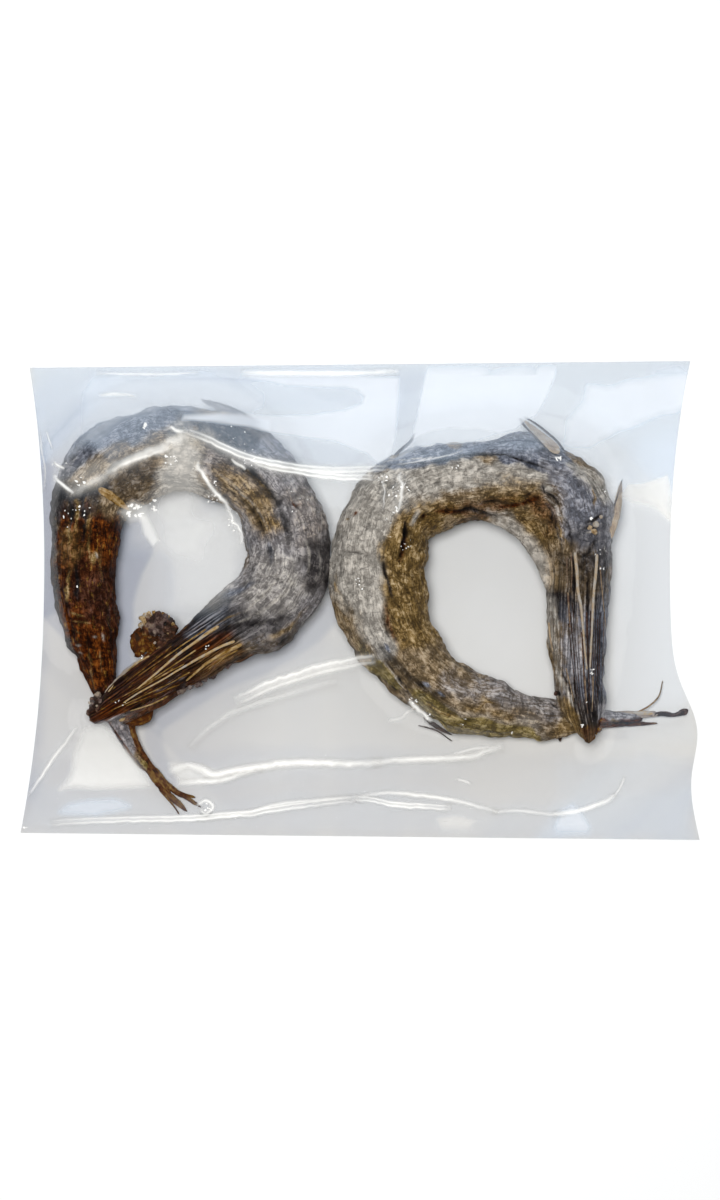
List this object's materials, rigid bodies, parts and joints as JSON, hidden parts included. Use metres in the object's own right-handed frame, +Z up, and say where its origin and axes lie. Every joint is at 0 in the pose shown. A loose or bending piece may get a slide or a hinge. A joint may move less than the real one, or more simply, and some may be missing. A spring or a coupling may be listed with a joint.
{
  "type": "smoked barracuda",
  "caption": "Clear sealed pouch of smoked barracuda: each whole fish is bent into a ring, belly up, with its head crossing over its tail.",
  "frame": {"origin": "on the ground, under the middle of the pouch's box", "axes": "+X along the seal bands, from the fish with its head at the lower left to the fish whose tail points to the right edge; +Y across the pouch, from the side with the heads and tails to the side with the bends of the bodies; +Z up"},
  "size_m": [0.338, 0.244, 0.0379],
  "materials": {
    "film": "clear glossy film, lightly creased",
    "smoked_skin": "smoke-dried skin and flesh, brown and grey, with an oily satin sheen",
    "bone": "dry tan jaw bone and gill cover",
    "fin": "dried dark fin rays"
  },
  "bodies": {
    "root": {"bag": "film"}
  },
  "joints": []
}
